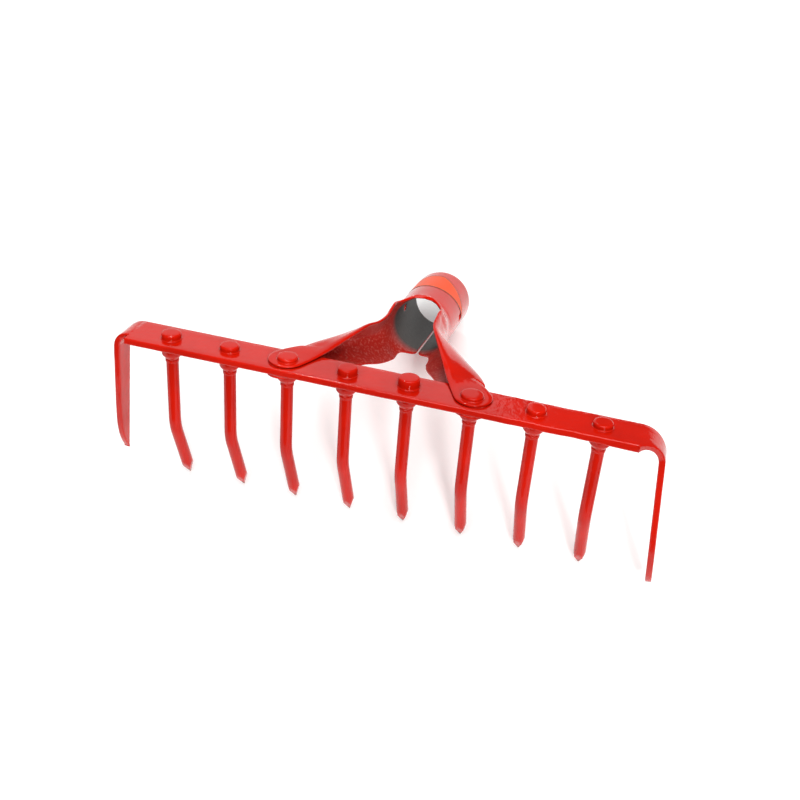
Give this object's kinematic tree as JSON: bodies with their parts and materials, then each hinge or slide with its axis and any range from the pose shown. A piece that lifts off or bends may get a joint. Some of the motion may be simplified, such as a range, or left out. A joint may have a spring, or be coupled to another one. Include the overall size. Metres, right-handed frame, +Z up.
{
  "type": "garden rake head",
  "caption": "Riveted steel garden rake head with round bent tines, turned-down end tines and a forked handle socket.",
  "frame": {"origin": "centre of the socket's mouth, where the handle goes in", "axes": "+X along the bar, +Y from the tines toward the handle side, +Z up with the head resting on its round tine tips and the lower rim of the socket"},
  "size_m": [0.2908, 0.1584, 0.0941],
  "materials": {
    "bar_paint": "gloss",
    "tine_paint": "gloss",
    "socket_paint": "gloss",
    "label": "gloss"
  },
  "bodies": {
    "root": {"rake_bar": "bar_paint", "tine_1": "tine_paint", "tine_2": "tine_paint", "tine_3": "tine_paint", "tine_4": "tine_paint", "tine_5": "tine_paint", "tine_6": "tine_paint", "tine_7": "tine_paint", "tine_8": "tine_paint", "socket_fork": "socket_paint", "socket_label": "label"}
  },
  "joints": []
}
